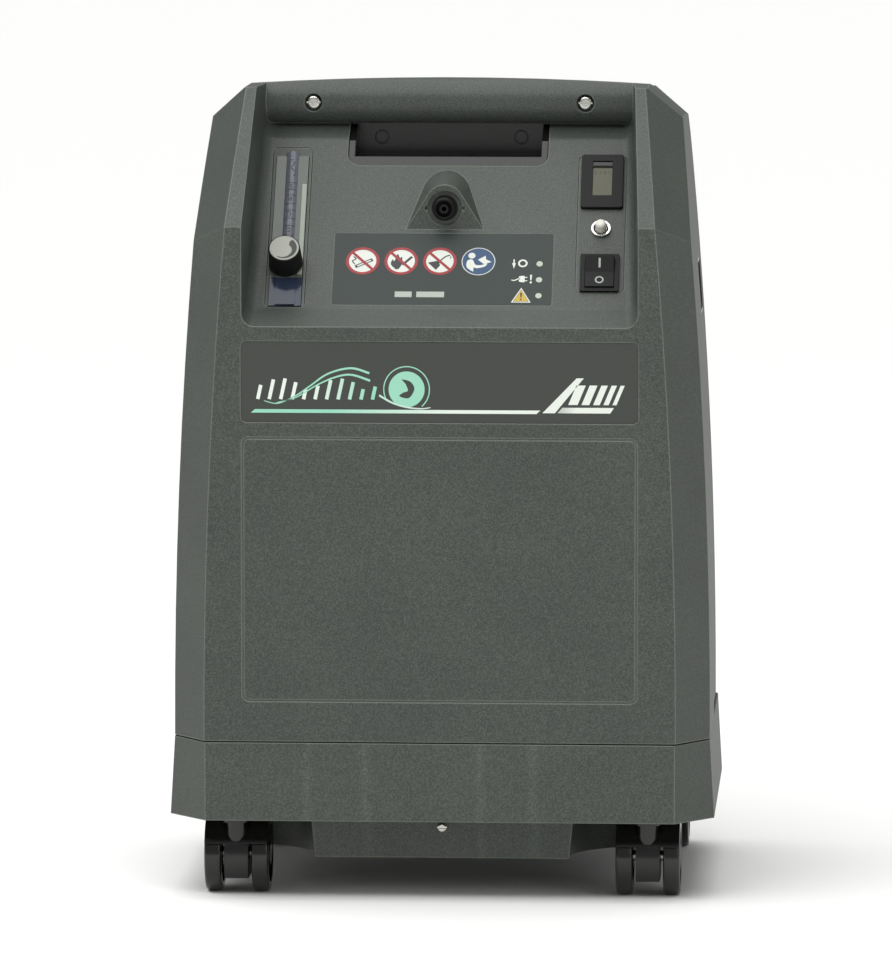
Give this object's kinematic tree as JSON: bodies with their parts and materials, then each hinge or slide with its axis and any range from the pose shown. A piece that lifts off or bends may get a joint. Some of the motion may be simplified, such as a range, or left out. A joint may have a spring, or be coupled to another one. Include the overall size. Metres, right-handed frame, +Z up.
{
  "type": "oxygen concentrator",
  "caption": "Upright home oxygen concentrator: moulded cabinet with sloping control recess, flowmeter, carrying bar and twin-wheel casters.",
  "frame": {"origin": "on the floor below the middle of the cabinet", "axes": "+X to the viewer's right when facing the control recess, +Y from the front to the back, +Z up"},
  "size_m": [0.354, 0.292, 0.528],
  "materials": {
    "cabinet_plastic": "fine moulded texture",
    "black_gloss": "polished black",
    "black_matte": "satin black",
    "label_film": "printed polyester film",
    "badge_film": "printed polyester film",
    "clear_acrylic": "polished clear",
    "blue_tube": "polished, tinted",
    "white_cap": "printed cap",
    "steel": "bright zinc plated",
    "chrome": "plated",
    "brass": "turned",
    "aluminium": "cast and machined",
    "painted_steel": "powder coat",
    "lcd": "display glass",
    "lamp_lens": "diffusing lens",
    "button_white": "moulded",
    "foam": "open cell foam",
    "silicone": "translucent hose",
    "board": "glass epoxy",
    "tread": "hard black tread"
  },
  "bodies": {
    "cabinet": {"front_cover": "cabinet_plastic", "rear_cover": "cabinet_plastic", "base_tray": "cabinet_plastic", "handle_cup": "black_gloss", "side_grips": "black_gloss", "bar_screws": "steel", "cabinet_screws": "steel", "flowmeter_body": "clear_acrylic", "flowmeter_tube": "blue_tube", "switch_plate": "cabinet_plastic", "hour_meter": "black_matte", "meter_display": "lcd", "breaker": "chrome", "switch_frame": "black_matte", "outlet_fitting": "black_matte", "icon_label": "label_film", "badge_label": "badge_film", "indicator_lights": "lamp_lens", "exhaust_grille": "black_matte", "cord_gland": "black_matte", "compressor_springs": "steel", "compressor_cradle": "painted_steel", "compressor_motor": "painted_steel", "compressor_heads": "aluminium", "support_shelf": "painted_steel", "fan_frame": "black_matte", "cooling_coil": "aluminium", "sieve_beds": "aluminium", "product_tank": "aluminium", "valve_manifold": "black_matte", "solenoid_valves": "black_matte", "exhaust_muffler": "black_matte", "circuit_board": "board", "air_hoses": "silicone"},
    "flow_valve": {"flow_knob": "black_matte", "knob_cap": "white_cap", "needle_stem": "brass"},
    "float": {"float_ball": "steel"},
    "power_rocker": {"switch_rocker": "black_matte"},
    "reset_button": {"breaker_button": "button_white"},
    "rotor": {"compressor_rotor": "aluminium"},
    "impeller": {"fan_impeller": "black_matte"},
    "intake_filter": {"filter_frame": "black_matte", "filter_foam": "foam"},
    "front_left_caster": {"front_left_housing": "black_gloss", "front_left_pins": "steel"},
    "front_left_caster_wheel_left": {"front_left_wheel_left": "tread"},
    "front_left_caster_wheel_right": {"front_left_wheel_right": "tread"},
    "front_right_caster": {"front_right_housing": "black_gloss", "front_right_pins": "steel"},
    "front_right_caster_wheel_left": {"front_right_wheel_left": "tread"},
    "front_right_caster_wheel_right": {"front_right_wheel_right": "tread"},
    "rear_left_caster": {"rear_left_housing": "black_gloss", "rear_left_pins": "steel"},
    "rear_left_caster_wheel_left": {"rear_left_wheel_left": "tread"},
    "rear_left_caster_wheel_right": {"rear_left_wheel_right": "tread"},
    "rear_right_caster": {"rear_right_housing": "black_gloss", "rear_right_pins": "steel"},
    "rear_right_caster_wheel_left": {"rear_right_wheel_left": "tread"},
    "rear_right_caster_wheel_right": {"rear_right_wheel_right": "tread"}
  },
  "joints": [
    {"name": "flow_adjust", "type": "hinge", "parent": "cabinet", "child": "flow_valve", "pos_m": [-0.102, -0.10368, 0.41183], "axis": [0, -0.766, 0.6428], "range_deg": [0, 720]},
    {"name": "float_rise", "type": "slide", "parent": "cabinet", "child": "float", "axis": [0, 0.6428, 0.766], "range_m": [0, 0.062]},
    {"name": "power_switch", "type": "hinge", "parent": "cabinet", "child": "power_rocker", "pos_m": [0.1015, -0.10682, 0.40637], "axis": [-1, 0, 0], "range_deg": [0, 16]},
    {"name": "breaker_trip", "type": "slide", "parent": "cabinet", "child": "reset_button", "axis": [0, -0.766, 0.6428], "range_m": [0, 0.003]},
    {"name": "compressor_spin", "type": "hinge", "parent": "cabinet", "child": "rotor", "pos_m": [0, -0.046, 0.108], "axis": [1, 0, 0], "continuous": true},
    {"name": "fan_spin", "type": "hinge", "parent": "cabinet", "child": "impeller", "pos_m": [-0.092, -0.026, 0.25], "axis": [0, 0, 1], "continuous": true},
    {"name": "filter_pull", "type": "slide", "parent": "cabinet", "child": "intake_filter", "axis": [0, 1, 0], "range_m": [0, 0.03]},
    {"name": "front_left_swivel", "type": "hinge", "parent": "cabinet", "child": "front_left_caster", "pos_m": [-0.134, -0.116, 0.06], "axis": [0, 0, 1], "continuous": true},
    {"name": "front_left_roll_left", "type": "hinge", "parent": "front_left_caster", "child": "front_left_caster_wheel_left", "pos_m": [-0.134, -0.097, 0.025], "axis": [1, 0, 0], "continuous": true},
    {"name": "front_left_roll_right", "type": "hinge", "parent": "front_left_caster", "child": "front_left_caster_wheel_right", "pos_m": [-0.134, -0.097, 0.025], "axis": [1, 0, 0], "continuous": true},
    {"name": "front_right_swivel", "type": "hinge", "parent": "cabinet", "child": "front_right_caster", "pos_m": [0.134, -0.116, 0.06], "axis": [0, 0, 1], "continuous": true},
    {"name": "front_right_roll_left", "type": "hinge", "parent": "front_right_caster", "child": "front_right_caster_wheel_left", "pos_m": [0.134, -0.097, 0.025], "axis": [1, 0, 0], "continuous": true},
    {"name": "front_right_roll_right", "type": "hinge", "parent": "front_right_caster", "child": "front_right_caster_wheel_right", "pos_m": [0.134, -0.097, 0.025], "axis": [1, 0, 0], "continuous": true},
    {"name": "rear_left_swivel", "type": "hinge", "parent": "cabinet", "child": "rear_left_caster", "pos_m": [-0.134, 0.096, 0.06], "axis": [0, 0, 1], "continuous": true},
    {"name": "rear_left_roll_left", "type": "hinge", "parent": "rear_left_caster", "child": "rear_left_caster_wheel_left", "pos_m": [-0.134, 0.115, 0.025], "axis": [1, 0, 0], "continuous": true},
    {"name": "rear_left_roll_right", "type": "hinge", "parent": "rear_left_caster", "child": "rear_left_caster_wheel_right", "pos_m": [-0.134, 0.115, 0.025], "axis": [1, 0, 0], "continuous": true},
    {"name": "rear_right_swivel", "type": "hinge", "parent": "cabinet", "child": "rear_right_caster", "pos_m": [0.134, 0.096, 0.06], "axis": [0, 0, 1], "continuous": true},
    {"name": "rear_right_roll_left", "type": "hinge", "parent": "rear_right_caster", "child": "rear_right_caster_wheel_left", "pos_m": [0.134, 0.115, 0.025], "axis": [1, 0, 0], "continuous": true},
    {"name": "rear_right_roll_right", "type": "hinge", "parent": "rear_right_caster", "child": "rear_right_caster_wheel_right", "pos_m": [0.134, 0.115, 0.025], "axis": [1, 0, 0], "continuous": true}
  ]
}
